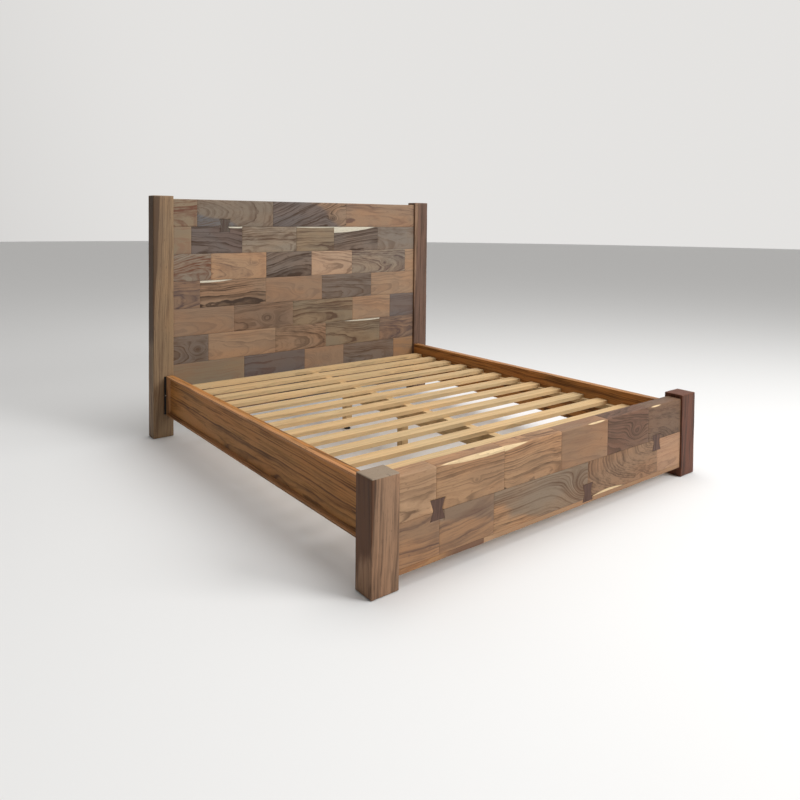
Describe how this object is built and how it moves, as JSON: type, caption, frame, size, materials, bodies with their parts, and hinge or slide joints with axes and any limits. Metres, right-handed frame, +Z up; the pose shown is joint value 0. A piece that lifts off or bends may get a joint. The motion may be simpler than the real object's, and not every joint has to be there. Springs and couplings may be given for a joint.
{
  "type": "bed frame",
  "caption": "Wooden bed frame: block-built headboard and footboard with inlaid bow-tie keys, hook-on side rails, slatted base and an adjustable centre support.",
  "frame": {"origin": "on the floor, under the middle of the whole frame", "axes": "+X to the right seen from the foot, +Y from foot to head, +Z up"},
  "size_m": [2.204, 2.271, 1.486],
  "materials": {
    "foot_post_brown": "oiled hardwood, satin",
    "foot_post_red_brown": "oiled hardwood, satin",
    "head_post_grey_brown": "oiled hardwood, satin",
    "head_post_dark": "oiled hardwood, satin",
    "headboard_blocks": "oiled hardwood blocks, satin",
    "footboard_blocks": "oiled hardwood blocks, satin",
    "footboard_dark_block": "oiled hardwood, satin",
    "footboard_tan_block": "oiled hardwood, satin",
    "bow_tie_dark": "oiled dark hardwood, satin",
    "rail_board": "stained hardwood, satin",
    "rail_moulding": "stained hardwood, satin",
    "pale_softwood": "planed softwood, unfinished",
    "joint_beech": "planed beech",
    "black_steel": "black powder coat, matt",
    "zinc_steel": "zinc plated",
    "yellow_zinc_steel": "yellow zinc plated",
    "insert_brass": "plain brass",
    "black_nylon": "moulded, matt"
  },
  "bodies": {
    "frame": {"head_post_left": "head_post_grey_brown", "head_post_right": "head_post_dark", "headboard_row_1": "headboard_blocks", "headboard_row_2": "headboard_blocks", "headboard_row_3": "headboard_blocks", "headboard_row_4": "headboard_blocks", "headboard_row_5": "headboard_blocks", "headboard_row_6": "headboard_blocks", "headboard_row_7": "headboard_blocks", "headboard_row_8": "headboard_blocks", "headboard_bow_tie": "bow_tie_dark", "foot_post_left": "foot_post_brown", "foot_post_right": "foot_post_red_brown", "footboard_top_block_1": "footboard_blocks", "footboard_top_block_2": "footboard_blocks", "footboard_top_block_3": "footboard_blocks", "footboard_top_block_4": "footboard_blocks", "footboard_top_block_5": "footboard_dark_block", "footboard_top_block_6": "footboard_blocks", "footboard_bottom_block_1": "footboard_blocks", "footboard_bottom_block_2": "footboard_blocks", "footboard_bottom_block_3": "footboard_blocks", "footboard_bottom_block_4": "footboard_blocks", "footboard_bottom_block_5": "footboard_tan_block", "footboard_edge_row": "footboard_blocks", "footboard_bow_tie_1": "bow_tie_dark", "footboard_bow_tie_2": "bow_tie_dark", "footboard_bow_tie_3": "bow_tie_dark", "row_splines": "joint_beech", "panel_dowels": "joint_beech", "post_glides": "black_nylon", "side_rail_left": "rail_board", "side_rail_right": "rail_board", "rail_lower_moulding_left": "rail_moulding", "rail_lower_moulding_right": "rail_moulding", "rail_upper_moulding_left": "rail_moulding", "rail_upper_moulding_right": "rail_moulding", "rail_end_mouldings_left": "rail_moulding", "rail_end_mouldings_right": "rail_moulding", "rail_hook_plates": "zinc_steel", "post_plates": "black_steel", "connector_screws": "zinc_steel", "slat_cleat_left": "pale_softwood", "slat_cleat_right": "pale_softwood", "slats": "pale_softwood", "wood_screws": "yellow_zinc_steel", "centre_beam": "pale_softwood", "beam_hangers": "zinc_steel", "beam_hanger_screws": "zinc_steel", "centre_leg_1": "pale_softwood", "centre_leg_2": "pale_softwood", "centre_leg_3": "pale_softwood", "centre_leg_bolts": "zinc_steel", "leveller_inserts": "insert_brass"},
    "leveller_foot_1": {"leveller_pad_1": "black_nylon"},
    "leveller_screw_1": {"leveller_stem_1": "zinc_steel"},
    "leveller_foot_2": {"leveller_pad_2": "black_nylon"},
    "leveller_screw_2": {"leveller_stem_2": "zinc_steel"},
    "leveller_foot_3": {"leveller_pad_3": "black_nylon"},
    "leveller_screw_3": {"leveller_stem_3": "zinc_steel"}
  },
  "joints": [
    {"name": "leveller_1_height", "type": "slide", "parent": "frame", "child": "leveller_foot_1", "axis": [0, 0, -1], "range_m": [-0.01, 0.01]},
    {"name": "leveller_1_turn", "type": "hinge", "parent": "leveller_foot_1", "child": "leveller_screw_1", "pos_m": [0, -0.554, 0.02], "axis": [0, 0, -1], "range_deg": [-2881, 2881]},
    {"name": "leveller_2_height", "type": "slide", "parent": "frame", "child": "leveller_foot_2", "axis": [0, 0, -1], "range_m": [-0.01, 0.01]},
    {"name": "leveller_2_turn", "type": "hinge", "parent": "leveller_foot_2", "child": "leveller_screw_2", "pos_m": [0, 0.006, 0.02], "axis": [0, 0, -1], "range_deg": [-2881, 2881]},
    {"name": "leveller_3_height", "type": "slide", "parent": "frame", "child": "leveller_foot_3", "axis": [0, 0, -1], "range_m": [-0.01, 0.01]},
    {"name": "leveller_3_turn", "type": "hinge", "parent": "leveller_foot_3", "child": "leveller_screw_3", "pos_m": [0, 0.566, 0.02], "axis": [0, 0, -1], "range_deg": [-2881, 2881]}
  ],
  "couplings": [
    {"joint": "leveller_1_turn", "follows": "leveller_1_height", "rad_per_m": 5026.5},
    {"joint": "leveller_2_turn", "follows": "leveller_2_height", "rad_per_m": 5026.5},
    {"joint": "leveller_3_turn", "follows": "leveller_3_height", "rad_per_m": 5026.5}
  ]
}
